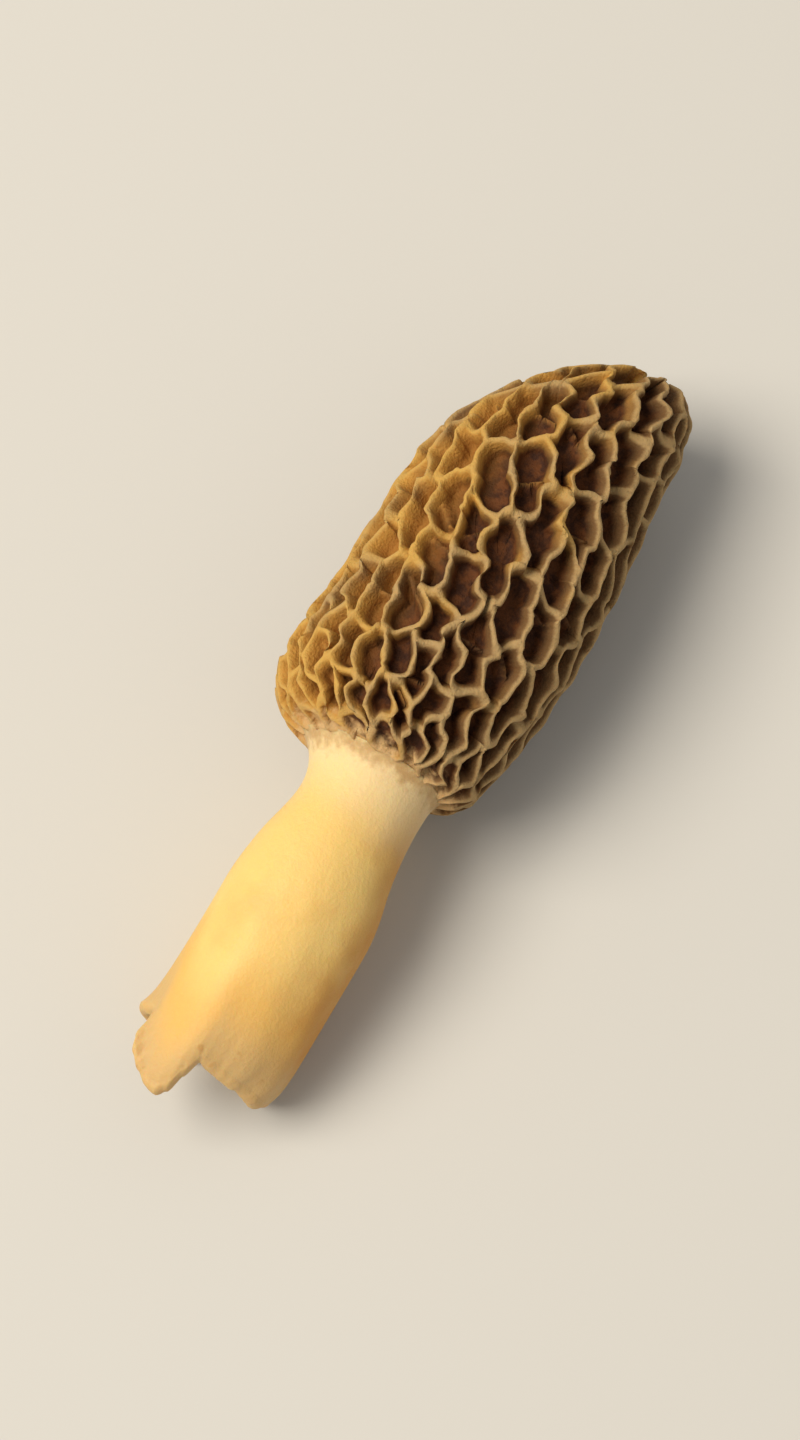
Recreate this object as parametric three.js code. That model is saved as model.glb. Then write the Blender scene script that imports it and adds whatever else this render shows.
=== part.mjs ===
// A picked morel lying on its side: a hollow cap whose outside is a raised net of ridges round deep
// pits, and the hollow stem that carries it, torn off at its base.
//
// Millimetres, +Z up. Both pieces follow one centreline that runs along +X. A "station" is the
// distance along X from the longest lobe of the torn base, and an "angle" turns round the centreline
// from straight up (0) towards +Y. On the cap, "along" is the distance over its skin from the mouth,
// where it sits on the stem, to the tip.

import * as THREE from "three";

// Driving dimensions.
const STEM_LENGTH = 51;
const STEM_BASE_RADIUS = 11;
const STEM_NECK_RADIUS = 8.4;
const STEM_WALL = 2.6;
const TAPER_START = 29;
const TAPER_LENGTH = 18;
const CAP_LENGTH = 69.5;
const CAP_RADIUS = 18.3;
const PIT_DEPTH = 3.8;

// The cap's outline: a blunt superellipse from the mouth to the widest place, a rounder one from
// there to the tip. The hollow inside has the same form.
const WIDEST = STEM_LENGTH + 27;
const TIP = STEM_LENGTH + CAP_LENGTH;
const CAP_OUTLINE = {
  radius: CAP_RADIUS, back: WIDEST - STEM_LENGTH, backPower: 5, front: TIP - WIDEST, frontPower: 2.3,
};
const HOLLOW_OUTLINE = { radius: 12.3, back: 26.2, backPower: 2.5, front: 36, frontPower: 2.4 };
const OUTLINE_STEPS = 1500;

// The joint: the stem's flared end sits in a shallow seat in the underside of the cap.
const MOUTH_RADIUS = 10.2;
const MOUTH_BORE = 6.2;
const SEAT_DEPTH = 0.8;
const SEAT_GAP = 0.3;
const FLARE_LENGTH = 2.2;

// The centreline: level through the cap. Along the stem it droops until the base meets the surface,
// and sways towards +Y. On both sides of the neck it steps aside towards +Y. The rim is bowed a
// little towards +Y and the tip leans towards -Y.
const STEM_DROOP = 11.8;
const DROOP_POWER = 1.7;
const STEM_SWAY = 2.7;
const NECK = STEM_LENGTH - 3;
const STEM_STEP = 1.4;
const STEM_STEP_LENGTH = 12;
const CAP_STEP = 1.2;
const CAP_STEP_LENGTH = 9;
const RIM_BOW = 2.3;
const BOW_LENGTH = 13;
const TIP_LEAN = 8.2;
const LEAN_LENGTH = 26;
const PRESSED_FLAT = 0.9; // how much of the lowest ridges the weight has flattened

// The net. A pit is as wide as its pitch and longer by the stretch, and the rows of pits slant.
const NET_SEED = 29;
const PITCH_AT_MOUTH = 3.2;
const PITCH_AT_WIDEST = 5.9;
const PITCH_GROWS_OVER = 34;
const STRETCH = 1.85;
const SLANT = 0.28;
const SCATTER_ROUNDS = [[1.2, 150], [0.95, 350], [0.78, 900], [0.66, 4000]]; // [pitches apart, tries]
const TIP_PIT_RADIUS = 3;
const WELD = 0.55;
const EDGE_STEP = 2.4;
const WANDER = 0.5;
const CREST_HALF_WIDTH = 0.5;
const WALL_FOOT = 1.35;

// The pits are shallower at the mouth and at the tip, by these shares over these lengths.
const RIM_DEPTH_SHARE = 0.22;
const RIM_SHALLOW_LENGTH = 10;
const TIP_DEPTH_SHARE = 0.6;
const TIP_SHALLOW_LENGTH = 16;

// How much of the pits' depth a ridge that runs crosswise loses at its middle: some little, some much.
const LEAST_WEB_DROP = 0.2;
const MOST_WEB_DROP = 0.85;

// The stem's torn edge: [angle in degrees, station where the flesh ends, how far it turns inwards].
// Where the last number is negative, the flesh stands out instead.
const TORN_EDGE = [
  [-98, 6.4, 0.9], [-85, 5.5, 1.2], [-72, 5.5, 1.6], [-58, 5.8, 2], [-45, 5.6, 2], [-32, 5.6, 1.8],
  [-20, 5.6, 1.4], [-10, 5.9, 0.9], [-3, 6.1, 0.5], [4, 3.4, 0.6], [10, 0.9, 0.9], [18, 0, 0.9],
  [28, 0.4, 0.3], [36, 1.7, -0.7], [42, 3.2, -1.6], [47, 4.9, -1.6], [52, 7.2, -0.6], [58, 9.4, 0],
  [70, 10, -0.4], [80, 9.8, -1], [90, 9.8, -1.1], [104, 9.4, 0], [118, 8.6, 1.2], [134, 9, 1.4],
  [152, 8.8, 1.4], [170, 9.8, 1.4], [190, 9.2, 1.4], [212, 8.2, 1.3], [236, 7.2, 1.1],
];
const STEM_SIDES = 56;
const STEM_ROWS = 17;
const FURROW_HEIGHT = 0.22;
const LIP_LENGTH = 2; // the turning of the torn edge fades over this distance
const LIP_TURNS = [0.25, 0.5, 0.75]; // where the rounded edge has its points, in half turns
const LIP_ROUNDING = 0.9;

const FULL_TURN = 2 * Math.PI;

const clamp = (x, low, high) => Math.min(high, Math.max(low, x));
const mix = (a, b, share) => a + (b - a) * share;
const ease = (x) => {
  const t = clamp(x, 0, 1);
  return t * t * (3 - 2 * t);
};
const wrapAngle = (angle) => angle - FULL_TURN * Math.round(angle / FULL_TURN);

// A repeatable draw of numbers from 0 to 1.
function seededDraw(seed) {
  let state = seed;
  return () => {
    state = (Math.imul(1664525, state) + 1013904223) >>> 0;
    return state / 4294967296;
  };
}

// ---------------------------------------------------------------- the common centreline

function centreAt(station) {
  const down = clamp((STEM_LENGTH - station) / STEM_LENGTH, 0, 1) ** DROOP_POWER;
  const lean = Math.max(0, (station - TIP + LEAN_LENGTH) / LEAN_LENGTH) ** 2;
  const bow = RIM_BOW * Math.exp(-(((station - STEM_LENGTH - BOW_LENGTH / 2) / BOW_LENGTH) ** 2));
  const behind = STEM_STEP * ease((NECK - station) / STEM_STEP_LENGTH);
  const ahead = CAP_STEP * ease((station - NECK) / CAP_STEP_LENGTH);
  return { y: STEM_SWAY * down + behind + ahead + bow - TIP_LEAN * lean, z: -STEM_DROOP * down };
}

// Slow swellings of the outline, which die out at the round mouth.
function swelling(angle, station) {
  const away = ease(Math.abs(station - STEM_LENGTH) / 9);
  const slow = Math.sin(2 * angle + 0.9 + 0.02 * station);
  const quick = Math.sin(3 * angle - 0.06 * station + 2.1);
  return 1 + away * (0.022 * slow + 0.013 * quick);
}

function placed(station, radius, angle) {
  const centre = centreAt(station);
  const r = radius * swelling(angle, station);
  return [station, centre.y + r * Math.sin(angle), centre.z + r * Math.cos(angle)];
}

// ---------------------------------------------------------------- the cap's skin

// A point of a superellipse outline: turn 0 is on the axis at the back, half a turn is the front end.
function outlinePoint(outline, turn) {
  const inFront = turn > Math.PI / 2;
  const power = inFront ? outline.frontPower : outline.backPower;
  const reach = inFront ? outline.front : -outline.back;
  return {
    station: WIDEST + reach * Math.abs(Math.cos(turn)) ** (2 / power),
    radius: outline.radius * Math.abs(Math.sin(turn)) ** (2 / power),
  };
}

// The outline as a list of points a small distance apart, from a given radius at the back to the tip.
function outlineList(outline, startRadius) {
  const points = [];
  for (let i = 0; i <= OUTLINE_STEPS; i++) {
    const point = outlinePoint(outline, (Math.PI * i) / OUTLINE_STEPS);
    if (point.station > WIDEST || point.radius >= startRadius) points.push(point);
  }
  points[points.length - 1].radius = 0;
  points[0].along = 0;
  for (let i = 1; i < points.length; i++) {
    const [a, b] = [points[i - 1], points[i]];
    b.along = a.along + Math.hypot(b.station - a.station, b.radius - a.radius);
  }
  return points;
}

// The skin's meridian, with the map that keeps angles true: "height" grows by step / radius.
const meridian = outlineList(CAP_OUTLINE, MOUTH_RADIUS);
meridian[0].height = 0;
for (let i = 1; i < meridian.length; i++) {
  const [a, b] = [meridian[i - 1], meridian[i]];
  b.height = a.height + (b.along - a.along) / Math.max(0.05, (a.radius + b.radius) / 2);
}
const SKIN_LENGTH = meridian[meridian.length - 1].along;
const SEAT_STATION = meridian[0].station + SEAT_DEPTH;

// Reads the meridian at a value of one of its rising fields.
function meridianAt(field, value) {
  let low = 0;
  let high = meridian.length - 1;
  while (high - low > 1) {
    const middle = (low + high) >> 1;
    if (meridian[middle][field] > value) high = middle;
    else low = middle;
  }
  const [a, b] = [meridian[low], meridian[high]];
  const share = clamp((value - a[field]) / (b[field] - a[field] || 1), 0, 1);
  const read = {};
  for (const name of ["along", "height", "station", "radius"]) read[name] = mix(a[name], b[name], share);
  const run = Math.hypot(b.station - a.station, b.radius - a.radius);
  read.outStation = -(b.radius - a.radius) / run;
  read.outRadius = (b.station - a.station) / run;
  return read;
}

// A point under the skin, at a depth measured square to it.
function skinPoint(angle, along, depth) {
  const at = meridianAt("along", along);
  const radius = Math.max(0, at.radius - depth * at.outRadius);
  return placed(at.station - depth * at.outStation, radius, angle);
}

const pitchAt = (along) => mix(PITCH_AT_MOUTH, PITCH_AT_WIDEST, ease(along / PITCH_GROWS_OVER));

// Full pit depth, less near the rim of the cap and at the tip.
function deepestAt(along) {
  const fromRim = mix(RIM_DEPTH_SHARE, 1, ease(along / RIM_SHALLOW_LENGTH));
  const fromTip = mix(TIP_DEPTH_SHARE, 1, ease((SKIN_LENGTH - along) / TIP_SHALLOW_LENGTH));
  return PIT_DEPTH * fromRim * fromTip;
}

// ---------------------------------------------------------------- the plan of the net

// The plan is a flat map of the skin, a full turn wide. In it the pits are as long as they are wide.
const planOf = (angle, height) => ({ across: angle - SLANT * height, up: height / STRETCH });
const skinOf = (across, up) => ({
  angle: across + SLANT * STRETCH * up,
  along: meridianAt("height", up * STRETCH).along,
});
const TIP_LINE = meridianAt("along", SKIN_LENGTH - TIP_PIT_RADIUS).height / STRETCH;

// Scatters the pits over the skin, none closer to another than the crowding allows.
function scatterPits() {
  const draw = seededDraw(NET_SEED);
  const sites = [];
  for (const [crowding, tries] of SCATTER_ROUNDS) {
    for (let i = 0; i < tries; i++) {
      const angle = FULL_TURN * draw();
      const along = SKIN_LENGTH * draw();
      const chance = draw();
      const at = meridianAt("along", along);
      const reach = crowding * pitchAt(along);
      const margin = 0.5 * reach;
      if (chance > at.radius / CAP_RADIUS || along < margin) continue;
      if (along > SKIN_LENGTH - TIP_PIT_RADIUS - margin) continue;
      const here = planOf(angle, at.height);
      const clear = (other) =>
        at.radius * Math.hypot(wrapAngle(here.across - other.across), here.up - other.up) > reach;
      if (sites.every(clear)) sites.push(here);
    }
  }
  return sites;
}

// The part of a polygon whose points p have p . normal <= limit.
function clipped(polygon, normal, limit) {
  const kept = [];
  for (let i = 0; i < polygon.length; i++) {
    const a = polygon[i];
    const b = polygon[(i + 1) % polygon.length];
    const over = a[0] * normal[0] + a[1] * normal[1] - limit;
    const next = b[0] * normal[0] + b[1] * normal[1] - limit;
    if (over <= 0) kept.push(a);
    if (over < 0 !== next < 0 && over !== next) {
      const share = over / (over - next);
      if (share > 0 && share < 1) kept.push([mix(a[0], b[0], share), mix(a[1], b[1], share)]);
    }
  }
  return kept;
}

// The outline of the pit round a site: all that is nearer to it than to any other site.
function pitOutline(site, sites) {
  const side = FULL_TURN / 2;
  let outline = [
    [-side, -site.up], [side, -site.up],
    [side, TIP_LINE - site.up], [-side, TIP_LINE - site.up],
  ];
  for (const other of sites) {
    if (other === site) continue;
    const normal = [wrapAngle(other.across - site.across), other.up - site.up];
    outline = clipped(outline, normal, (normal[0] ** 2 + normal[1] ** 2) / 2);
  }
  return outline.map(([across, up]) => [across + site.across, up + site.up]);
}

// The whole net: corners shared by the pits round them, and each pit as a loop of corners.
function planNet() {
  const sites = scatterPits();
  const corners = [];
  const radiusAt = (up) => meridianAt("height", up * STRETCH).radius;

  function cornerAt(across, up) {
    const radius = radiusAt(up);
    const snap = WELD / radius;
    const height = up < snap ? 0 : up > TIP_LINE - snap ? TIP_LINE : up;
    const near = (c) => radius * Math.hypot(wrapAngle(c.across - across), c.up - height) < WELD;
    let index = corners.findIndex(near);
    if (index < 0) index = corners.push({ across, up: height }) - 1;
    return index;
  }

  const loops = sites.map((site) => {
    const ids = pitOutline(site, sites).map(([across, up]) => cornerAt(across, up));
    return ids.filter((id, i) => id !== ids[(i + 1) % ids.length]);
  });
  return { corners, loops: loops.filter((loop) => loop.length > 2) };
}

// A slow sideways wandering of the ridges, so that none runs straight.
function wandered(angle, along) {
  const radius = meridianAt("along", along).radius;
  const size = WANDER * Math.min(1, radius / 10);
  const held = ease(along / 3) * ease((SKIN_LENGTH - along) / 4);
  const sideways = Math.sin(11 * angle + 0.75 * along) + Math.sin(7 * angle - 1.1 * along + 2);
  const lengthways = Math.sin(13 * angle - 0.6 * along + 1) + Math.sin(5 * angle + 0.95 * along + 4);
  return { angle: angle + (size * sideways) / Math.max(radius, 3), along: along + size * held * lengthways };
}

// ---------------------------------------------------------------- meshes

// Collects points and faces, and turns them into a geometry.
class Shell {
  constructor() {
    this.points = [];
    this.faces = [];
  }
  add(point) {
    return this.points.push(point) - 1;
  }
  // Joins two rings of the same number of points.
  band(ring, next) {
    ring.forEach((a, i) => {
      const j = (i + 1) % ring.length;
      this.faces.push([a, next[j], ring[j]], [a, next[i], next[j]]);
    });
  }
  fan(ring, middle) {
    ring.forEach((a, i) => this.faces.push([a, middle, ring[(i + 1) % ring.length]]));
  }
  geometry() {
    const geometry = new THREE.BufferGeometry();
    geometry.setAttribute("position", new THREE.Float32BufferAttribute(this.points.flat(), 3));
    geometry.setIndex(this.faces.flat());
    geometry.computeVertexNormals();
    return geometry;
  }
}

// How much a crosswise ridge sags, which differs from ridge to ridge with the place of its middle.
function webDropAt(across, up) {
  const low = 0.5 + 0.5 * Math.sin(7 * (across + SLANT * STRETCH * up) + 38 * up);
  return mix(LEAST_WEB_DROP, MOST_WEB_DROP, low);
}

// The points between two corners, shared by the pits on both sides of the ridge. A ridge that runs
// lengthwise stands at full height, and one that runs crosswise sags between its corners.
function ridgePoints(net, shell, cache, from, to) {
  const [a, b] = from < to ? [from, to] : [to, from];
  const key = `${a} ${b}`;
  if (!cache.has(key)) {
    const [start, end] = [net.corners[a], net.corners[b]];
    const turn = wrapAngle(end.across - start.across);
    const up = (start.up + end.up) / 2;
    const radius = meridianAt("height", up * STRETCH).radius;
    const rise = Math.abs(end.up - start.up) * STRETCH;
    const length = Math.hypot(turn, rise);
    const pieces = clamp(Math.round((radius * length) / EDGE_STEP), 1, 4);
    const sag = webDropAt(start.across + turn / 2, up) * (1 - rise / length);
    const inner = [];
    for (let i = 1; i < pieces; i++) {
      const share = i / pieces;
      const skin = skinOf(start.across + turn * share, mix(start.up, end.up, share));
      const moved = wandered(skin.angle, skin.along);
      const drop = sag * Math.sin(Math.PI * share) * deepestAt(moved.along);
      inner.push({ ...moved, drop, index: shell.add(skinPoint(moved.angle, moved.along, drop)) });
    }
    cache.set(key, inner);
  }
  const inner = cache.get(key);
  return from < to ? inner : [...inner].reverse();
}

// One pit: the crest round it, the crest's inner edge, the foot of the walls and the floor.
function addPit(shell, crest) {
  const first = crest[0];
  const middle = { angle: 0, along: 0 };
  for (const point of crest) {
    middle.angle += (first.angle + wrapAngle(point.angle - first.angle)) / crest.length;
    middle.along += point.along / crest.length;
  }
  const radius = Math.max(1, meridianAt("along", middle.along).radius);
  const sideways = (p) => radius * wrapAngle(middle.angle - p.angle);
  const reach = crest.map((p) => Math.hypot(sideways(p), middle.along - p.along));
  const size = reach.reduce((sum, r) => sum + r, 0) / reach.length;
  const depth = deepestAt(middle.along) * clamp(size / 2.6, 0.45, 1);

  const ringAt = (inset, share, sink) =>
    crest.map((p, i) => {
      const inwards = Math.min(share, inset / reach[i]);
      const angle = p.angle + wrapAngle(middle.angle - p.angle) * inwards;
      return shell.add(skinPoint(angle, mix(p.along, middle.along, inwards), sink(p)));
    });
  const crestRing = crest.map((p) => p.index);
  const edgeRing = ringAt(CREST_HALF_WIDTH, 0.25, (p) => mix(p.drop, Math.max(depth, p.drop), 0.07));
  const footRing = ringAt(WALL_FOOT, 0.55, (p) => mix(p.drop, Math.max(depth, p.drop), 0.85));
  const lowest = Math.max(depth, ...crest.map((p) => p.drop));
  const floor = shell.add(skinPoint(middle.angle, middle.along, lowest));
  shell.band(crestRing, edgeRing);
  shell.band(edgeRing, footRing);
  shell.fan(footRing, floor);
}

// Follows the corners of the net's two open edges, made of the ridges that have one pit only.
function openLoops(net) {
  const sidesOf = (loop) => loop.map((from, i) => `${from} ${loop[(i + 1) % loop.length]}`);
  const sides = new Set(net.loops.flatMap(sidesOf));
  const next = new Map();
  for (const side of sides) {
    const [from, to] = side.split(" ").map(Number);
    if (!sides.has(`${to} ${from}`)) next.set(to, from);
  }
  const loops = [];
  while (next.size) {
    const loop = [];
    let corner = next.keys().next().value;
    while (next.has(corner)) {
      loop.push(corner);
      const following = next.get(corner);
      next.delete(corner);
      corner = following;
    }
    loops.push(loop);
  }
  return loops;
}

function capGeometry() {
  const net = planNet();
  const shell = new Shell();
  for (const corner of net.corners) {
    const skin = skinOf(corner.across, corner.up);
    const moved = wandered(skin.angle, skin.along);
    corner.point = { ...moved, drop: 0, index: shell.add(skinPoint(moved.angle, moved.along, 0)) };
  }
  const cache = new Map();
  const crestOf = (loop) =>
    loop.flatMap((from, i) => {
      const to = loop[(i + 1) % loop.length];
      return [net.corners[from].point, ...ridgePoints(net, shell, cache, from, to)];
    });
  for (const loop of net.loops) addPit(shell, crestOf(loop));

  const [tipLoop, mouthLoop] = openLoops(net).sort((a, b) => net.corners[b[0]].up - net.corners[a[0]].up);
  const tipCrest = crestOf(tipLoop);
  const tipDepth = deepestAt(SKIN_LENGTH);
  const tipFoot = tipCrest.map((p) =>
    shell.add(skinPoint(p.angle, mix(p.along, SKIN_LENGTH, 0.4), tipDepth * 0.8)));
  shell.band(tipCrest.map((p) => p.index), tipFoot);
  shell.fan(tipFoot, shell.add(skinPoint(0, SKIN_LENGTH, tipDepth)));

  // From the mouth inwards: the seat for the stem, then the hollow up to its own tip.
  const mouth = crestOf(mouthLoop);
  const turned = (station, radius) => mouth.map((p) => shell.add(placed(station, radius, p.angle)));
  const hollow = outlineList(HOLLOW_OUTLINE, MOUTH_BORE);
  const rings = [
    mouth.map((p) => p.index),
    turned(SEAT_STATION, MOUTH_RADIUS),
    turned(SEAT_STATION, MOUTH_BORE),
  ];
  const hollowSteps = 9;
  const hollowLength = hollow[hollow.length - 1].along;
  for (let i = 0; i < hollowSteps; i++) {
    const point = hollow.find((p) => p.along >= (hollowLength * i) / hollowSteps);
    rings.push(turned(point.station, point.radius));
  }
  for (let i = 1; i < rings.length; i++) shell.band(rings[i - 1], rings[i]);
  const end = hollow[hollow.length - 1];
  shell.fan(rings[rings.length - 1], shell.add(placed(end.station, 0, 0)));
  return shell.geometry();
}

// ---------------------------------------------------------------- the stem

// Where the torn flesh ends at an angle and how far it turns inwards, eased between the listed places.
function tornEdgeAt(angle) {
  const degrees = THREE.MathUtils.radToDeg(angle);
  const first = TORN_EDGE[0];
  const turned = THREE.MathUtils.euclideanModulo(degrees - first[0], 360) + first[0];
  const after = [...TORN_EDGE, [first[0] + 360, ...first.slice(1)]];
  const next = after.findIndex(([place]) => place > turned);
  const [a, b] = [after[next - 1], after[next]];
  const share = ease((turned - a[0]) / (b[0] - a[0]));
  return { end: mix(a[1], b[1], share), curl: mix(a[2], b[2], share) };
}

// The stem's outer radius: thick at the base, a neck, and a flare into the cap.
function stemRadius(angle, station, edge) {
  const body = mix(STEM_BASE_RADIUS, STEM_NECK_RADIUS, ease((station - TAPER_START) / TAPER_LENGTH));
  const seated = MOUTH_RADIUS - SEAT_GAP;
  const flare = (seated - STEM_NECK_RADIUS) * Math.exp((station - STEM_LENGTH) / FLARE_LENGTH);
  const lip = edge.curl * Math.exp((edge.end - station) / LIP_LENGTH);
  const furrows = Math.sin(5 * angle + 0.05 * station) + 0.6 * Math.sin(9 * angle - 0.09 * station + 1);
  const fading = FURROW_HEIGHT * (1 - ease((station - 6) / 36));
  return Math.min(seated, body + flare - lip + fading * furrows);
}

function stemGeometry() {
  const shell = new Shell();
  const top = SEAT_STATION - SEAT_GAP;
  const columns = Array.from({ length: STEM_SIDES }, (_, side) => {
    const angle = (FULL_TURN * side) / STEM_SIDES;
    const edge = tornEdgeAt(angle);
    const outside = (station) => stemRadius(angle, station, edge);
    const inside = (station) => mix(outside(station) - STEM_WALL, MOUTH_BORE, ease((station - 30) / 16));
    const stations = Array.from({ length: STEM_ROWS }, (_, row) => {
      const share = row / (STEM_ROWS - 1);
      return mix(edge.end, top, mix(share, (1 - Math.cos(Math.PI * share)) / 2, 0.6));
    });
    const [outermost, innermost] = [outside(edge.end), inside(edge.end)];
    const [lip, half] = [(outermost + innermost) / 2, (outermost - innermost) / 2];
    const rim = LIP_TURNS.map((turn) => {
      const [out, down] = [Math.cos(Math.PI * turn), Math.sin(Math.PI * turn)];
      return placed(edge.end - LIP_ROUNDING * half * down, lip - half * out, angle);
    });
    const outer = stations.map((station) => placed(station, outside(station), angle));
    const inner = stations.map((station) => placed(station, inside(station), angle));
    return [...rim, ...outer, ...inner.reverse()].map((point) => shell.add(point));
  });
  const rings = columns[0].map((_, row) => columns.map((column) => column[row]));
  rings.forEach((ring, i) => shell.band(ring, rings[(i + 1) % rings.length]));
  return shell.geometry();
}

// ---------------------------------------------------------------- the morel at rest

// Presses everything below the surface up to it, as soft flesh does.
function pressedOn(geometry, surface) {
  const position = geometry.getAttribute("position");
  for (let i = 0; i < position.count; i++) position.setZ(i, Math.max(position.getZ(i), surface));
  geometry.computeVertexNormals();
  geometry.computeBoundingBox();
}

const flesh = (color, roughness) => new THREE.MeshStandardMaterial({ color, roughness, metalness: 0 });

function buildMorel() {
  const cap = new THREE.Mesh(capGeometry(), flesh("#8a6a3a", 0.85));
  cap.name = "cap";
  const stem = new THREE.Mesh(stemGeometry(), flesh("#f0d9a0", 0.6));
  stem.name = "stem";
  const morel = new THREE.Group();
  morel.add(cap, stem);

  const lowest = new THREE.Box3().setFromObject(cap).min.z;
  for (const piece of [cap, stem]) pressedOn(piece.geometry, lowest + PRESSED_FLAT);

  // The origin is at the middle of the outline on the surface that the morel lies on.
  const box = new THREE.Box3().setFromObject(morel);
  const middle = box.getCenter(new THREE.Vector3());
  morel.position.set(-middle.x, -middle.y, -box.min.z);
  return morel;
}

export default buildMorel();
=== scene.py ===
"""A picked morel lying on its side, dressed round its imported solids.

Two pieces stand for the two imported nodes: the cap with its raised net of ridges, and the torn hollow
stem. Both are worked out from one centreline and a few sizes in millimetres, and are put into meshes
in metres. A "station" is the distance along X from the longest lobe of the torn base, an "angle" turns
round the centreline from straight up (0) towards +Y, and on the cap "along" is the distance over its
skin from the mouth, where it sits on the stem, to the tip.
"""

import logging
import math
from dataclasses import dataclass, field
from enum import Enum

import bmesh
import bpy
import numpy as np
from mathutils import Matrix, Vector


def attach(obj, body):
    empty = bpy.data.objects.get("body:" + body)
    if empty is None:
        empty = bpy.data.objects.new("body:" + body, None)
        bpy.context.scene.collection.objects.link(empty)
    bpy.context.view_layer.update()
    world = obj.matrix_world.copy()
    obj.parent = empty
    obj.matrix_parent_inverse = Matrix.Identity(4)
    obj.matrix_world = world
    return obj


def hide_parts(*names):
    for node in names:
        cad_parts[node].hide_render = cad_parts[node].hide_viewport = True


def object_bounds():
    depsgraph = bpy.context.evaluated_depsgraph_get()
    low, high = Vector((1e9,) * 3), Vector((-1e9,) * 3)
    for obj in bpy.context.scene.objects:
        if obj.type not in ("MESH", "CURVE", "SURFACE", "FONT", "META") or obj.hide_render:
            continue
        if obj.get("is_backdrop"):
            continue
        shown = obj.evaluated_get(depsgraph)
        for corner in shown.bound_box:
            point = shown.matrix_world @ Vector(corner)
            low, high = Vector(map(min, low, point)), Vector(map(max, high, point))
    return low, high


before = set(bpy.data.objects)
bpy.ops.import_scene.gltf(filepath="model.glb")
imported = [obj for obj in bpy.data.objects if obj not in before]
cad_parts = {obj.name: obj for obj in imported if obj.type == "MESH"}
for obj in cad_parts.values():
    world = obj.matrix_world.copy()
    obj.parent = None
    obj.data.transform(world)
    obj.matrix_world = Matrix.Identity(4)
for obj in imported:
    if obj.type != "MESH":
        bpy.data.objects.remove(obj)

MM = 0.001
FULL_TURN = 2 * math.pi
# points this close, in millimetres, become one
WELD = 0.0002
# the factor, the step and the range of the repeatable draws
DRAW_FACTOR = 1664525
DRAW_STEP = 1013904223
DRAW_RANGE = 2**32

log = logging.getLogger("morel")

Array = np.ndarray
Rgb = tuple[float, float, float]
Node = bpy.types.Node
Socket = bpy.types.NodeSocket
Tree = bpy.types.NodeTree


class Side(Enum):
    """What lies on the far side of a ridge from the pit that owns it."""

    PIT = "pit"
    MOUTH = "mouth"
    TIP = "tip"


# ---- small formulas


def ease(x: Array | float) -> Array | float:
    """A smooth step from 0 to 1: three times the square less twice the cube."""
    t = np.clip(x, 0.0, 1.0)
    return t * t * (3 - 2 * t)


def mix(a: Array | float, b: Array | float, share: Array | float) -> Array | float:
    """The value a share of the way from a to b."""
    return a + (b - a) * share


def wrapped(angle: Array) -> Array:
    """An angle brought to within half a turn of zero."""
    return angle - FULL_TURN * np.round(angle / FULL_TURN)


@dataclass(frozen=True)
class Wave:
    """A sine wave with so many crests a turn, which twists as it goes along the morel."""

    turns: float
    twist: float = 0.0
    phase: float = 0.0
    height: float = 1.0

    def at(self, angle: Array, along: Array) -> Array:
        """The wave's value at an angle and a distance: the height times the sine."""
        return self.height * np.sin(self.turns * angle + self.twist * along + self.phase)


def summed(waves: tuple[Wave, ...], angle: Array, along: Array) -> Array:
    """The sum of some waves at an angle and a distance."""
    return sum(wave.at(angle, along) for wave in waves)


def linear(colour: Rgb) -> tuple[float, float, float, float]:
    """A colour given as 0 to 255 on a screen, as the shader's linear values."""
    share = np.array(colour) / 255
    low, high = share / 12.92, ((share + 0.055) / 1.055) ** 2.4
    return (*np.where(share <= 0.04045, low, high).tolist(), 1.0)


# ---- the common form


@dataclass(frozen=True)
class Centreline:
    """The line that stem and cap follow: level through the cap and drooping along the stem."""

    stem_length: float = 51.0
    tip: float = 120.5
    droop: float = 11.8
    droop_power: float = 1.7
    sway: float = 2.7
    neck_back: float = 3.0
    stem_step: float = 1.4
    stem_step_length: float = 12.0
    cap_step: float = 1.2
    cap_step_length: float = 9.0
    rim_bow: float = 2.3
    bow_length: float = 13.0
    tip_lean: float = 8.2
    lean_length: float = 26.0
    swelling_length: float = 9.0
    swellings: tuple[Wave, ...] = (Wave(2, 0.02, 0.9, 0.022), Wave(3, -0.06, 2.1, 0.013))

    def place(self, station: Array, radius: Array, angle: Array) -> Array:
        """Points at a radius and angle round the centreline.

        The line sinks by a power of the distance back from the rim, steps aside smoothly on both sides
        of the neck, bows sideways by a bell curve at the rim, and leans at the tip by the square of
        the distance. Two and three slow waves a turn swell the radius by a few hundredths, away from
        the round mouth.

        Args:
            station: Distances along X.
            radius: Distances from the centreline.
            angle: Turns from straight up towards +Y, in radians.

        Returns:
            The points, with the coordinates on the last axis.
        """
        station, radius, angle = np.broadcast_arrays(station, radius, angle)
        down = np.clip((self.stem_length - station) / self.stem_length, 0, 1) ** self.droop_power
        lean = np.maximum(0, (station - self.tip + self.lean_length) / self.lean_length) ** 2
        off = (station - self.stem_length - self.bow_length / 2) / self.bow_length
        away = ease(np.abs(station - self.stem_length) / self.swelling_length)
        swollen = radius * (1 + away * summed(self.swellings, angle, station))
        neck = self.stem_length - self.neck_back
        behind = self.stem_step * ease((neck - station) / self.stem_step_length)
        ahead = self.cap_step * ease((station - neck) / self.cap_step_length)
        middle = self.sway * down + behind + ahead + self.rim_bow * np.exp(-(off**2)) - self.tip_lean * lean
        y = middle + swollen * np.sin(angle)
        z = -self.droop * down + swollen * np.cos(angle)
        return np.stack([station, y, z], axis=-1)


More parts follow.
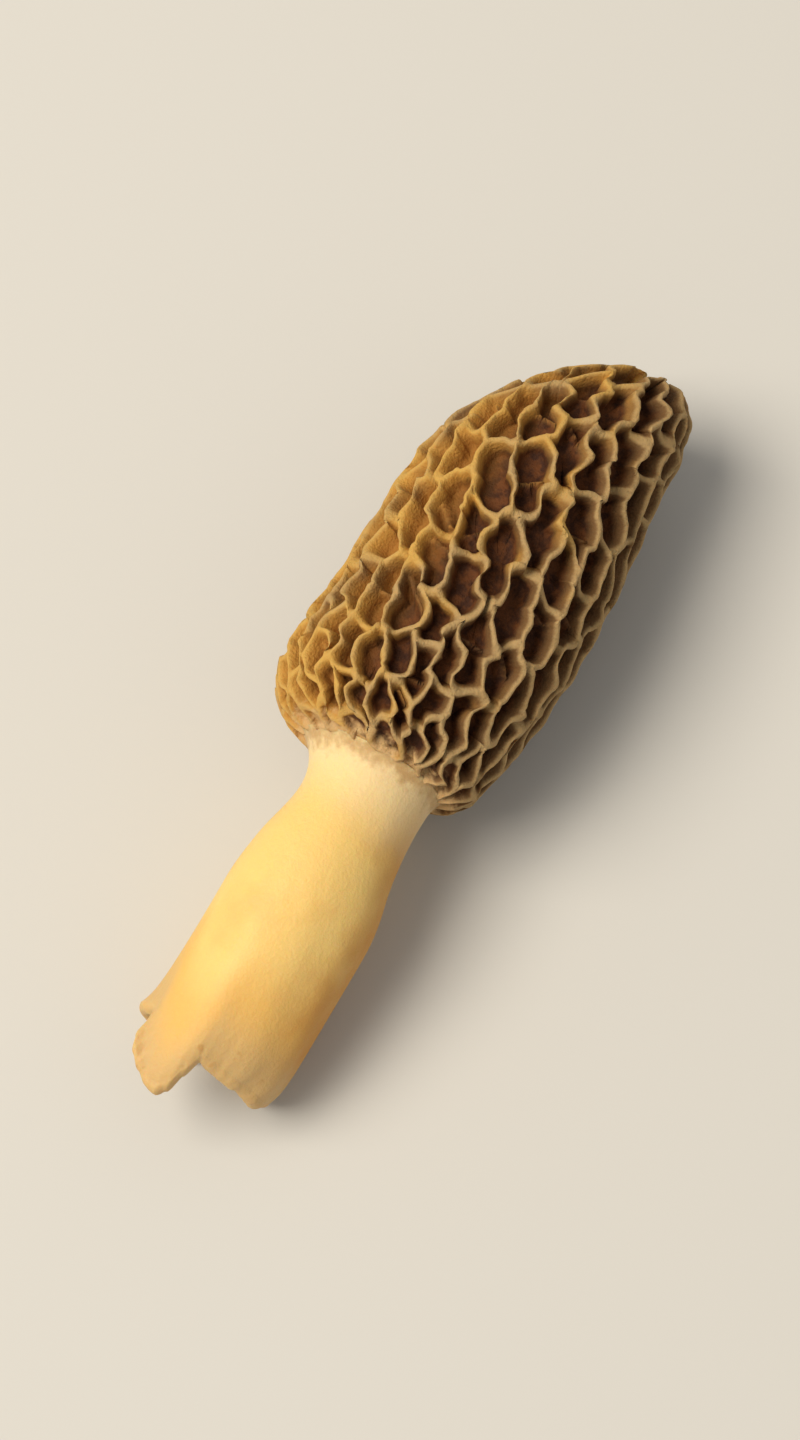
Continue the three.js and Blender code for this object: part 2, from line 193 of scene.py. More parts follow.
@dataclass(frozen=True)
class Outline:
    """A superellipse turned round the centreline, blunt at the back and rounder in front."""

    widest: float
    radius: float
    back: float
    back_power: float
    front: float
    front_power: float
    steps: int = 1500

    def points(self, start_radius: float) -> tuple[Array, Array]:
        """The outline from a radius at the back to its tip.

        The station is the widest place plus the reach times the cosine raised to two over the power,
        and the radius is the largest one times the sine raised the same way.

        Args:
            start_radius: The radius at the back where the outline begins.

        Returns:
            The stations and the radii.
        """
        turn = math.pi * np.arange(self.steps + 1) / self.steps
        ahead = turn > math.pi / 2
        power = np.where(ahead, self.front_power, self.back_power)
        reach = np.where(ahead, self.front, -self.back)
        station = self.widest + reach * np.abs(np.cos(turn)) ** (2 / power)
        radius = self.radius * np.abs(np.sin(turn)) ** (2 / power)
        keep = (station > self.widest) | (radius >= start_radius)
        radius[-1] = 0
        return station[keep], radius[keep]


@dataclass
class Skin:
    """The cap's smooth outer skin, on which the net stands."""

    line: Centreline
    outline: Outline
    mouth_radius: float = 10.2
    least_radius: float = 0.05
    along: Array = field(init=False)
    height: Array = field(init=False)
    station: Array = field(init=False)
    radius: Array = field(init=False)
    out_station: Array = field(init=False)
    out_radius: Array = field(init=False)

    def __post_init__(self) -> None:
        """Measures the meridian, and the height that keeps angles true: the sum of step over radius."""
        self.station, self.radius = self.outline.points(self.mouth_radius)
        step_x, step_r = np.diff(self.station), np.diff(self.radius)
        step = np.hypot(step_x, step_r)
        middle = np.maximum(self.least_radius, (self.radius[1:] + self.radius[:-1]) / 2)
        self.along = np.concatenate([[0], np.cumsum(step)])
        self.height = np.concatenate([[0], np.cumsum(step / middle)])
        run = np.hypot(np.gradient(self.station), np.gradient(self.radius))
        self.out_station = -np.gradient(self.radius) / run
        self.out_radius = np.gradient(self.station) / run

    @property
    def length(self) -> float:
        """The distance over the skin from the mouth to the tip."""
        return float(self.along[-1])

    def radius_at(self, along: Array) -> Array:
        """The skin's radius at a distance along it."""
        return np.interp(along, self.along, self.radius)

    def point(self, angle: Array, along: Array, depth: Array) -> Array:
        """Points a depth under the skin, measured square to it.

        Args:
            angle: Turns from straight up towards +Y, in radians.
            along: Distances over the skin from the mouth.
            depth: Depths under the skin.

        Returns:
            The points, with the coordinates on the last axis.
        """
        read = [np.interp(along, self.along, f) for f in (self.station, self.out_station)]
        out_radius = np.interp(along, self.along, self.out_radius)
        radius = np.maximum(0, self.radius_at(along) - depth * out_radius)
        return self.line.place(read[0] - depth * read[1], radius, angle)


# ---- the plan of the net


@dataclass
class Ridges:
    """One entry for each side of each ridge, seen from the pit that owns it."""

    owner: Array
    start: Array
    end: Array
    beyond: Array


@dataclass
class Net:
    """The net of ridges: pits scattered over the skin, with a ridge midway between neighbours."""

    skin: Skin
    seed: int = 29
    pitch_at_mouth: float = 3.2
    pitch_at_widest: float = 5.9
    pitch_grows_over: float = 34.0
    stretch: float = 1.85
    slant: float = 0.28
    # each round of scattering: how much of the pitch lies between pits, and how many places it tries
    rounds: tuple[tuple[float, int], ...] = ((1.2, 150), (0.95, 350), (0.78, 900), (0.66, 4000))
    tip_pit_radius: float = 3.0
    borders: int = 24
    # in the plan: what counts as parallel, as touching, as no length and as lying on an end line
    parallel: float = 1e-12
    touching: float = 1e-9
    shortest: float = 1e-7
    on_line: float = 1e-8

    @property
    def tip_line(self) -> float:
        """The height in the plan where the pit at the tip begins."""
        skin = self.skin
        return float(np.interp(skin.length - self.tip_pit_radius, skin.along, skin.height) / self.stretch)

    def draws(self) -> Array:
        """Draws repeatable numbers: each state is the last one times a factor, plus a step.

        Returns:
            Numbers from 0 to 1, three for each place that is tried.
        """
        count = 3 * sum(tries for _, tries in self.rounds)
        states, state = np.empty(count), self.seed
        for i in range(count):
            state = (DRAW_FACTOR * state + DRAW_STEP) % DRAW_RANGE
            states[i] = state
        return states.reshape(-1, 3) / DRAW_RANGE

    def pits(self) -> Array:
        """Scatters the pits, none closer to another than the crowding allows.

        Returns:
            Each pit's place in the plan: across, the angle less the slant, and up, the height.
        """
        skin, draws = self.skin, self.draws()
        angle, along = FULL_TURN * draws[:, 0], skin.length * draws[:, 1]
        radius, height = skin.radius_at(along), np.interp(along, skin.along, skin.height)
        pitch = mix(self.pitch_at_mouth, self.pitch_at_widest, ease(along / self.pitch_grows_over))
        crowding, tries = zip(*self.rounds)
        reach = np.repeat(crowding, tries) * pitch
        last = skin.length - self.tip_pit_radius
        fits = (draws[:, 2] <= radius / skin.outline.radius) & (along >= reach / 2)
        fits &= along <= last - reach / 2
        places = np.stack([angle - self.slant * height, height / self.stretch], axis=1)
        kept: list[int] = []
        for i in np.flatnonzero(fits):
            gap = places[kept] - places[i]
            apart = radius[i] * np.hypot(wrapped(gap[:, 0]), gap[:, 1])
            if (apart > reach[i]).all():
                kept.append(int(i))
        return places[kept]

    def ridges(self, pits: Array) -> Ridges:
        """Runs a ridge midway between each two neighbouring pits.

        A corner of a pit is where two of its borders cross and none of its others cuts it off. Its
        borders are the lines midway to its nearest pits, which are also looked for a full turn to
        each side, and the mouth and the tip line. Its corners in order round it are its sides' ends.

        Args:
            pits: Each pit's place in the plan.

        Returns:
            The sides of the ridges, each owned by a pit, going round it one way.
        """
        count, near = len(pits), self.borders
        turns = np.array([[0, 0], [-FULL_TURN, 0], [FULL_TURN, 0]])
        sites = (pits[None] + turns[:, None]).reshape(-1, 2)
        gap = sites[None] - pits[:, None]
        nearest = np.argsort((gap**2).sum(axis=-1), axis=1)[:, 1 : near + 1]
        out = np.take_along_axis(gap, nearest[..., None], axis=1)
        ends = np.broadcast_to([[0.0, -1.0], [0.0, 1.0]], (count, 2, 2))
        out = np.concatenate([out, ends], axis=1)
        half = (out[:, :near] ** 2).sum(axis=-1) / 2
        reach = np.concatenate([half, pits[:, 1:], self.tip_line - pits[:, 1:]], axis=1)

        one, two = np.triu_indices(near + 2, 1)
        (ax, ay), (bx, by) = np.moveaxis(out[:, one], -1, 0), np.moveaxis(out[:, two], -1, 0)
        cross = ax * by - ay * bx
        cross = np.where(np.abs(cross) < self.parallel, np.nan, cross)
        x = (reach[:, one] * by - reach[:, two] * ay) / cross
        y = (reach[:, two] * ax - reach[:, one] * bx) / cross
        corner = np.stack([x, y], axis=-1)
        beyond = np.einsum("pck,pbk->pcb", corner, out) - reach[:, None]
        pit, crossing = np.nonzero((beyond <= self.touching).all(axis=-1))
        corner = corner[pit, crossing]
        order = np.lexsort((np.arctan2(corner[:, 1], corner[:, 0]), pit))
        pit, corner = pit[order], corner[order] + pits[pit[order]]

        first = np.searchsorted(pit, pit)
        last = np.searchsorted(pit, pit, side="right") - 1
        following = np.where(np.arange(len(pit)) == last, first, np.arange(len(pit)) + 1)
        end = corner[following]
        keep = np.hypot(*(end - corner).T) > self.shortest
        pit, start, end = pit[keep], corner[keep], end[keep]
        lowest, highest = np.minimum(start, end)[:, 1], np.maximum(start, end)[:, 1]
        side = np.full(len(pit), Side.PIT, dtype=object)
        side[highest < self.on_line] = Side.MOUTH
        side[lowest > self.tip_line - self.on_line] = Side.TIP
        return Ridges(pit, start, end, side)


# ---- meshes


def welded_object(name: str, points: Array, quads: Array, masks: dict[str, Array]) -> bpy.types.Object:
    """Puts points in millimetres and quads into an object at the origin, and joins what coincides.

    Args:
        name: The object's name.
        points: The points, one row each.
        quads: Four point numbers a row, with the corner order that points the face outwards.
        masks: Values of 0 to 1 for each point, kept as attributes for the finishes.

    Returns:
        The object, shaded smooth.
    """
    mesh = bpy.data.meshes.new(name)
    mesh.vertices.add(len(points))
    mesh.vertices.foreach_set("co", (points * MM).astype(np.float32).ravel())
    mesh.loops.add(quads.size)
    mesh.loops.foreach_set("vertex_index", quads.astype(np.int32).ravel())
    mesh.polygons.add(len(quads))
    mesh.polygons.foreach_set("loop_start", np.arange(0, quads.size, 4, dtype=np.int32))
    mesh.update(calc_edges=True)
    for mask, values in masks.items():
        mesh.attributes.new(mask, "FLOAT", "POINT").data.foreach_set("value", values.astype(np.float32))
    work = bmesh.new()
    work.from_mesh(mesh)
    bmesh.ops.remove_doubles(work, verts=work.verts, dist=WELD * MM)
    open_edges = sum(1 for edge in work.edges if not edge.is_manifold)
    work.to_mesh(mesh)
    work.free()
    mesh.polygons.foreach_set("use_smooth", np.ones(len(mesh.polygons), dtype=bool))
    thing = bpy.data.objects.new(name, mesh)
    bpy.context.scene.collection.objects.link(thing)
    triangles = sum(len(face.vertices) - 2 for face in mesh.polygons)
    log.info("%s: %d triangles, %d open edges", name, triangles, open_edges)
    return thing


def strip_quads(first: Array, second: Array, rings: int) -> Array:
    """Joins columns of points into quads, each column to its neighbour.

    Args:
        first: The numbers of the points where the columns on one side start.
        second: Where their neighbours start.
        rings: How many points a column has.

    Returns:
        Four point numbers a row.
    """
    ring = np.arange(rings - 1)
    a, b = first[:, None] + ring, second[:, None] + ring
    return np.stack([a, a + 1, b + 1, b], axis=-1).reshape(-1, 4)


# ---- the cap


@dataclass
class Cap:
    """The brown head of the morel: ridges, pits, rim and the hollow inside."""

    line: Centreline
    radius: float = 18.3
    back: float = 27.0
    hollow_radius: float = 12.3
    hollow_back: float = 26.2
    hollow_front: float = 36.0
    mouth_bore: float = 6.2
    seat_depth: float = 0.8
    seat_edge: float = 0.5
    seat_bevel: float = 0.4
    bore_bevel: float = 0.5
    lining_rings: int = 26
    pressed_flat: float = 0.9
    # the depth of the pits, and how it lessens near the rim, at the tip and in small pits
    pit_depth: float = 3.8
    rim_depth_share: float = 0.22
    rim_shallow_length: float = 10.0
    tip_depth_share: float = 0.6
    tip_shallow_length: float = 16.0
    small_pit: float = 2.6
    small_depth_share: float = 0.45
    least_fall: float = 0.1
    # the run of the ridges: how far they wander, held back near the rim and the tip, and how they sag
    sample_step: float = 0.6
    wander: float = 0.5
    fine_wander: float = 0.16
    full_wander_radius: float = 10.0
    least_radius: float = 3.0
    held_at_rim: float = 3.0
    held_at_tip: float = 4.0
    sideways: tuple[Wave, ...] = (Wave(11, 0.75), Wave(7, -1.1, 2))
    lengthways: tuple[Wave, ...] = (Wave(13, -0.6, 1), Wave(5, 0.95, 4))
    fine_sideways: Wave = Wave(31, 2.3)
    fine_lengthways: Wave = Wave(37, -1.9, 2)
    web_drop_least: float = 0.2
    web_drop_most: float = 0.85
    web_drop_wave: Wave = Wave(7, 19, 0, 0.5)
    uneven_drop: float = 0.28
    uneven_wave: Wave = Wave(9, 0.5)
    uneven_swell: Wave = Wave(4, -0.37, 1)
    # how far in from the crest each ring lies, in millimetres, and its share of the pit's depth
    insets: tuple[float, ...] = (0, 0.2, 0.38, 0.54, 0.68, 0.82, 1.0, 1.3)
    falls: tuple[float, ...] = (0, 0.015, 0.07, 0.2, 0.42, 0.66, 0.85, 0.96)
    # the rings on a pit's floor, as shares of the floor's own reach, and the least of both
    floor_rings: tuple[float, ...] = (0.72, 0.46, 0.22, 0)
    floor_fall: float = 0.98
    least_floor: float = 0.3
    # narrow pits have closer rings
    narrow_pit: float = 2.4
    narrow_share: float = 0.55
    # how a pit's corners round off on the way down towards a smooth oval
    rounding: float = 0.85
    rounded_within: float = 0.9
    oval_inset: float = 0.8
    oval_size: float = 0.95
    oval_stiffness: float = 0.05
    # the low ribs on the floors of the larger pits
    rib_height: float = 0.5
    rib_width: float = 0.55
    rib_least_pit: float = 1.9
    rib_grows_over: float = 0.8
    rib_from: float = 0.5
    rib_full_over: float = 0.4
    rib_tilt: Wave = Wave(5, 0.7, 0, 0.7)
    rib_offset: Wave = Wave(3, 1.7, 0, 0.5)
    rib_rise: Wave = Wave(4, 1.1)
    # the rings of the pit at the tip: shares of the way in, and of its depth
    tip_rings: tuple[float, ...] = (0, 0.12, 0.25, 0.4, 0.6, 0.8, 1.0)
    tip_falls: tuple[float, ...] = (0, 0.1, 0.45, 0.8, 0.95, 1, 1)
    # the finish's masks
    rim_colour_length: float = 13.0
    lining_fall: float = 0.3
    # the angle, in degrees, of the side with painted light; the far side gets painted shade
    lit_side_angle: float = 75.0
    skin: Skin = field(init=False)
    hollow: Outline = field(init=False)

    def __post_init__(self) -> None:
        """Lays out the skin and the hollow from the centreline's own ends."""
        widest = self.line.stem_length + self.back
        front = self.line.tip - widest
        outside = Outline(widest, self.radius, self.back, back_power=5, front=front, front_power=2.3)
        self.skin = Skin(self.line, outside)
        back, front = self.hollow_back, self.hollow_front
        self.hollow = Outline(widest, self.hollow_radius, back, back_power=2.5, front=front, front_power=2.4)

    def deepest(self, along: Array) -> Array:
        """The full depth of the pits, less near the rim and at the tip."""
        rim = mix(self.rim_depth_share, 1, ease(along / self.rim_shallow_length))
        tip = mix(self.tip_depth_share, 1, ease((self.skin.length - along) / self.tip_shallow_length))
        return self.pit_depth * rim * tip

    def wandered(self, angle: Array, along: Array) -> tuple[Array, Array]:
        """Moves the ridges a little by sums of slow and fine sine waves, so that none runs straight.

        Args:
            angle: The angles of the ridges' points.
            along: Their distances over the skin.

        Returns:
            The moved angles and distances.
        """
        radius = self.skin.radius_at(along)
        full = np.minimum(1, radius / self.full_wander_radius)
        large, fine = self.wander * full, self.fine_wander * full
        sideways = large * summed(self.sideways, angle, along)
        sideways = sideways + fine * self.fine_sideways.at(angle, along)
        lengthways = large * summed(self.lengthways, angle, along)
        lengthways = lengthways + fine * self.fine_lengthways.at(angle, along)
        held = ease(along / self.held_at_rim) * ease((self.skin.length - along) / self.held_at_tip)
        return angle + sideways / np.maximum(radius, self.least_radius), along + held * lengthways

    def crest(self, net: Net, start: Array, end: Array) -> dict[str, Array]:
        """Samples the ridges from corner to corner.

        Each ridge has steps of a little over half a millimetre. It is straight in the plan and then
        wanders, and the more it runs crosswise the more it sags between its corners, by half a sine.

        Args:
            net: The net, whose slant and stretch turn the plan into the skin.
            start: Each side's first corner in the plan.
            end: Its other corner.

        Returns:
            For each sample its side, whether it is a side's last, its angle, its distance along the
            skin, and the drop of the crest there.
        """
        skin, gap = self.skin, end - start
        rise = np.abs(gap[:, 1]) * net.stretch
        length = np.hypot(gap[:, 0], rise)
        middle = np.interp((start[:, 1] + end[:, 1]) / 2 * net.stretch, skin.height, skin.radius)
        steps = np.maximum(1, np.round(middle * length / self.sample_step)).astype(int)
        side = np.repeat(np.arange(len(start)), steps + 1)
        first = np.repeat(np.cumsum(steps + 1) - steps - 1, steps + 1)
        share = (np.arange(len(side)) - first) / steps[side]
        plan = start[side] + gap[side] * share[:, None]
        angle = plan[:, 0] + net.slant * net.stretch * plan[:, 1]
        angle, along = self.wandered(angle, np.interp(plan[:, 1] * net.stretch, skin.height, skin.along))
        crosswise = (1 - rise / length)[side]
        across, up = (start + end).T
        low = 0.5 + self.web_drop_wave.at(across / 2 + net.slant * net.stretch * up / 2, up)
        web_drop = mix(self.web_drop_least, self.web_drop_most, low)[side]
        drop = web_drop * crosswise * np.sin(math.pi * share) * self.deepest(along)
        uneven = self.uneven_wave.at(angle, along) * self.uneven_swell.at(angle, along)
        drop = drop + self.uneven_drop * (1 + uneven) * self.deepest(along) / self.pit_depth
        return {"side": side, "last": share == 1, "angle": angle, "along": along, "drop": drop}

    def pit_walls(self, crest: dict[str, Array], owner: Array, count: int) -> tuple[Array, ...]:
        """Carries the walls from the crests down to the middles of the pits.

        A wall's place is a function of the sample along the crest and of the ring. It goes towards the
        pit's middle, which is the mean of its crests, and a smooth oval fitted to the pit by least
        squares, a constant with one and two waves a turn, rounds the corners as it goes down.

        Args:
            crest: The samples of the crests.
            owner: The pit that owns each side.
            count: How many pits there are.

        Returns:
            The angle, distance along the skin, depth and share of the fall of each sample's rings.
        """
        angle, along, drop = crest["angle"], crest["along"], crest["drop"]
        pit = owner[crest["side"]]
        weight = np.where(crest["last"], 0.0, 1.0)
        total = np.bincount(pit, weight, count)
        mid_angle = (np.bincount(pit, weight * angle, count) / total)[pit]
        mid_along = (np.bincount(pit, weight * along, count) / total)[pit]
        x, y = self.skin.radius_at(mid_along) * (angle - mid_angle), along - mid_along
        reach, bearing = np.hypot(x, y), np.arctan2(y, x)
        size = (np.bincount(pit, weight * reach, count) / total)[pit]
        depth = self.deepest(mid_along) * np.clip(size / self.small_pit, self.small_depth_share, 1)
        lowest = np.zeros(count)
        np.maximum.at(lowest, pit, drop)
        depth = np.maximum(depth, lowest[pit] + self.least_fall)

        once, twice = (np.cos(bearing), np.sin(bearing)), (np.cos(2 * bearing), np.sin(2 * bearing))
        basis = np.stack([np.ones_like(bearing), *once, *twice], axis=1)
        terms = basis.shape[1]
        normal, right = np.zeros((count, terms, terms)), np.zeros((count, terms))
        np.add.at(normal, pit, weight[:, None, None] * basis[:, :, None] * basis[:, None, :])
        np.add.at(right, pit, weight[:, None] * basis * reach[:, None])
        oval = np.linalg.solve(normal + self.oval_stiffness * np.eye(terms), right[..., None])[..., 0]
        rounded = (basis * oval[pit]).sum(axis=1) * self.oval_size

        mid_angle, mid_along, size = mid_angle[:, None], mid_along[:, None], size[:, None]
        reach, x, y = reach[:, None], x[:, None], y[:, None]
        inset, fall = np.array(self.insets), np.array(self.falls)
        narrow = np.clip(size / self.narrow_pit, self.narrow_share, 1)
        plain = reach - inset * narrow
        soft = np.minimum(plain, rounded[:, None] - inset * narrow * self.oval_inset)
        kept = mix(plain, soft, self.rounding * ease(inset / self.rounded_within))
        floor = np.maximum(kept[:, -1:], self.least_floor * reach)
        kept = np.maximum(kept, floor)
        out = np.concatenate([kept, floor * np.array(self.floor_rings)], axis=1) / reach
        fall = np.concatenate([fall, np.linspace(self.floor_fall, 1, len(self.floor_rings))])
        rib = self.ribs(x * out, y * out, mid_angle, mid_along, size)
        left = 1 - rib * ease((fall - self.rib_from) / self.rib_full_over)
        ring_angle = mix(mid_angle, angle[:, None], out)
        ring_along = mix(mid_along, along[:, None], out)
        return ring_angle, ring_along, mix(drop[:, None], depth[:, None], fall) * left, fall * left

    def ribs(self, x: Array, y: Array, angle: Array, along: Array, size: Array) -> Array:
        """How far low ribs rise from the floors of the larger pits.

        A rib is a bell curve of the distance from a line that crosses the pit near its middle. The
        line's tilt, its offset and the rib's height are sine waves of the pit's own place.

        Args:
            x: Distances sideways from the pit's middle.
            y: Distances along the skin from the middle.
            angle: The middle's angle.
            along: The middle's distance along the skin.
            size: The pit's mean reach.

        Returns:
            The share of the pit's depth that the rib fills.
        """
        tilt = self.rib_tilt.at(angle, along)
        offset = size * self.rib_offset.at(angle, along)
        height = self.rib_height * ease((size - self.rib_least_pit) / self.rib_grows_over)
        height = height * ease(0.5 + self.rib_rise.at(angle, along))
        across = x * np.sin(tilt) + y * np.cos(tilt) - offset
        return height * np.exp(-((across / self.rib_width) ** 2))

    def build(self) -> tuple[Array, Array, dict[str, Array]]:
        """Builds the whole cap.

        Returns:
            The points in millimetres, the quads, and the masks "fall", from the crest of a ridge (0)
            to the floor of a pit (1), "rim", from the body of the cap (0) to its mouth (1), and
            "lit_side", from the side with painted shade (0) to the side with painted light (1).
        """
        net = Net(self.skin)
        pits = net.pits()
        ridges = net.ridges(pits)
        log.info("net: %d pits, %d sides of ridges", len(pits), len(ridges.owner))
        crest = self.crest(net, ridges.start, ridges.end)
        angle, along, depth, fall = self.pit_walls(crest, ridges.owner, len(pits))
        blocks = [(self.skin.point(angle, along, depth), angle, fall, along, ~crest["last"])]

        at_tip = ridges.beyond == Side.TIP
        tip = self.crest(net, ridges.end[at_tip], ridges.start[at_tip])
        sunk = np.array(self.tip_falls)
        tip_along = mix(tip["along"][:, None], self.skin.length, np.array(self.tip_rings))
        tip_depth = mix(tip["drop"][:, None], self.deepest(np.array(self.skin.length)), sunk)
        tip_angle = np.broadcast_to(tip["angle"][:, None], tip_depth.shape)
        tip_points = self.skin.point(tip_angle, tip_along, tip_depth)
        tip_fall = np.broadcast_to(sunk, tip_depth.shape)
        blocks.append((tip_points, tip_angle, tip_fall, tip_along, ~tip["last"]))

        at_mouth = ridges.beyond == Side.MOUTH
        mouth = self.crest(net, ridges.end[at_mouth], ridges.start[at_mouth])
        turned = mouth["angle"][:, None]
        lip = self.skin.point(turned, mouth["along"][:, None], mouth["drop"][:, None])
        seat = self.skin.station[0] + self.seat_depth
        station, radius = self.hollow.points(self.mouth_bore)
        pick = np.linspace(0, len(station) - 1, self.lining_rings).astype(int)
        rim = self.skin.mouth_radius
        edge_radius = [rim, rim - self.seat_bevel, self.mouth_bore + self.bore_bevel]
        inner = self.line.place(
            np.concatenate([[seat - self.seat_edge, seat, seat], np.maximum(seat, station[pick])]),
            np.concatenate([edge_radius, radius[pick]]),
            turned,
        )
        lining = np.concatenate([lip, inner], axis=1)
        flat = np.zeros(lining.shape[:2])
        blocks.append((lining, flat + turned, flat + self.lining_fall, flat, ~mouth["last"]))

        quads, base = [], 0
        for block, _, _, _, joined in blocks:
            samples, rings = block.shape[:2]
            column = base + np.flatnonzero(joined) * rings
            quads.append(strip_quads(column, column + rings, rings))
            base += samples * rings
        angle, fall, along = (np.concatenate([np.ravel(block[k]) for block in blocks]) for k in (1, 2, 3))
        masks = {
            "fall": fall,
            "rim": 1 - np.clip(along / self.rim_colour_length, 0, 1),
            # painted light and shade: 1 on the lit side, 0 on the side in shade
            "lit_side": 0.5 + 0.5 * np.cos(angle - math.radians(self.lit_side_angle)),
        }
        points = np.concatenate([block[0].reshape(-1, 3) for block in blocks])
        return points, np.concatenate(quads), masks


# ---- the stem


@dataclass
class Stem:
    """The cream stem: a tube torn off at its base, with a neck and a flare into the cap."""

    line: Centreline
    base_radius: float = 11.0
    neck_radius: float = 8.4
    taper_start: float = 29.0
    taper_length: float = 18.0
    wall: float = 2.6
    seated_radius: float = 9.9
    seated_length: float = 0.9
    flare_length: float = 2.2
    lip_length: float = 2.0
    lip_bulge: float = 0.9
    mouth_bore: float = 6.2
    bore_start: float = 30.0
    bore_length: float = 16.0
    furrow_height: float = 0.22
    furrow_start: float = 6.0
    furrow_length: float = 36.0
    furrows: tuple[Wave, ...] = (Wave(5, 0.05), Wave(9, -0.09, 1, 0.6))
    fray_height: float = 0.08
    frays: tuple[Wave, ...] = (Wave(13, 0, 0.4), Wave(22, 0, 2, 0.6), Wave(37, 0, 1.2, 0.3))
    columns: int = 336
    outer_rows: int = 150
    edge_rows: int = 12
    inner_rows: int = 54
    # how strongly the rows crowd towards both ends outside, and towards the torn edge inside
    outer_crowding: float = 0.45
    inner_crowding: float = 1.3
    # the finish's masks
    torn_length: float = 18.0
    rim_length: float = 12.0
    # the angle, in degrees, where the painted orange shade is strongest
    painted_shade_angle: float = -108.0
    # the torn edge: an angle in degrees, the station where the flesh ends and how far it turns inwards
    torn_edge: tuple[tuple[float, float, float], ...] = (
        (-98, 6.4, 0.9), (-85, 5.5, 1.2), (-72, 5.5, 1.6), (-58, 5.8, 2), (-45, 5.6, 2), (-32, 5.6, 1.8),
        (-20, 5.6, 1.4), (-10, 5.9, 0.9), (-3, 6.1, 0.5), (4, 3.4, 0.6), (10, 0.9, 0.9), (18, 0, 0.9),
        (28, 0.4, 0.3), (36, 1.7, -0.7), (42, 3.2, -1.6), (47, 4.9, -1.6), (52, 7.2, -0.6), (58, 9.4, 0),
        (70, 10, -0.4), (80, 9.8, -1), (90, 9.8, -1.1), (104, 9.4, 0), (118, 8.6, 1.2), (134, 9, 1.4),
        (152, 8.8, 1.4), (170, 9.8, 1.4), (190, 9.2, 1.4), (212, 8.2, 1.3), (236, 7.2, 1.1),
    )

    def edge_at(self, angle: Array) -> tuple[Array, Array]:
        """The torn edge at an angle, eased between the listed places.

        Args:
            angle: Angles in radians.

        Returns:
            The station where the flesh ends there, a little frayed, and how far it turns inwards.
        """
        table = np.array(self.torn_edge + ((self.torn_edge[0][0] + 360, *self.torn_edge[0][1:]),))
        turned = (np.degrees(angle) - table[0, 0]) % 360 + table[0, 0]
        after = np.searchsorted(table[:, 0], turned, side="right")
        low, high = table[after - 1], table[after]
        share = ease((turned - low[..., 0]) / (high[..., 0] - low[..., 0]))
        edge = mix(low[..., 1], high[..., 1], share)
        edge = edge + self.fray_height * summed(self.frays, angle, 0)
        return edge, mix(low[..., 2], high[..., 2], share)

    def outside(self, angle: Array, station: Array, edge: Array, curl: Array) -> Array:
        """The outer radius: a thick base, a neck, an exponential flare into the cap and a curled lip.

        Five and nine furrows a turn fade out towards the neck.

        Args:
            angle: Angles in radians.
            station: Stations in millimetres.
            edge: The stations where the flesh ends at those angles.
            curl: How far the flesh turns inwards there.

        Returns:
            The radii in millimetres.
        """
        tapered = ease((station - self.taper_start) / self.taper_length)
        body = mix(self.base_radius, self.neck_radius, tapered)
        flared = np.exp((station - self.line.stem_length) / self.flare_length)
        flare = (self.seated_radius - self.neck_radius) * flared
        lip = curl * np.exp((edge - station) / self.lip_length)
        fading = self.furrow_height * (1 - ease((station - self.furrow_start) / self.furrow_length))
        return body + flare - lip + fading * summed(self.furrows, angle, station)

    def build(self) -> tuple[Array, Array, dict[str, Array]]:
        """Builds the stem as one grid that turns round it and goes outside, over the edge and inside.

        Returns:
            The points in millimetres, the quads, and the masks "torn", 1 at the torn edge, "inside",
            1 on the wall of the hollow, "rim", 1 where the stem meets the cap, and "painted_shade_flank",
            1 along the side that is in the shade, where shade is painted.
        """
        top = self.line.stem_length + self.seated_length
        angle = (FULL_TURN * np.arange(self.columns) / self.columns)[:, None]
        edge, curl = self.edge_at(angle)
        down = np.linspace(1, 0, self.outer_rows)
        down = mix(down, (1 - np.cos(math.pi * down)) / 2, self.outer_crowding)
        outer = mix(edge, top, down)
        outer_radius = self.outside(angle, outer, edge, curl)
        inner = mix(edge, top, np.linspace(0, 1, self.inner_rows) ** self.inner_crowding)
        inner_radius = self.outside(angle, inner, edge, curl) - self.wall
        bore = mix(inner_radius, self.mouth_bore, ease((inner - self.bore_start) / self.bore_length))
        lip, bore_lip = outer_radius[:, -1:], bore[:, :1]
        turn = math.pi * np.arange(1, self.edge_rows) / self.edge_rows
        thick = (lip - bore_lip) / 2
        rolled = edge - thick * np.sin(turn) * self.lip_bulge
        rolled_radius = (lip + bore_lip) / 2 + thick * np.cos(turn)
        station = np.concatenate([outer, rolled, inner], axis=1)
        radius = np.concatenate([outer_radius, rolled_radius, bore], axis=1)
        points = self.line.place(station, radius, angle)

        rows = station.shape[1]
        column = np.arange(self.columns) * rows
        following = np.roll(column, -1)
        closing = np.stack([column + rows - 1, column, following, following + rows - 1], axis=1)
        quads = np.concatenate([strip_quads(column, following, rows), closing])
        inside = np.zeros(station.shape)
        inside[:, self.outer_rows + self.edge_rows // 2 :] = 1
        torn = 1 - np.clip((station - edge) / self.torn_length, 0, 1)
        rim = np.clip((station - self.line.stem_length) / self.rim_length + 1, 0, 1)
        # painted shade: strongest on the side turned away from the lamp
        painted_shade_flank = np.clip(np.cos(angle - math.radians(self.painted_shade_angle)), 0, 1)
        painted_shade_flank = np.broadcast_to(painted_shade_flank, station.shape)
        masks = {"torn": torn, "inside": inside, "rim": rim, "painted_shade_flank": painted_shade_flank}
        return points.reshape(-1, 3), quads, {name: mask.ravel() for name, mask in masks.items()}


# ---- finishes


@dataclass(frozen=True)
class Band:
    """Where a value takes hold: from low, where it counts for nothing, to high, where it counts most."""

    low: float
    high: float
    most: float = 1.0


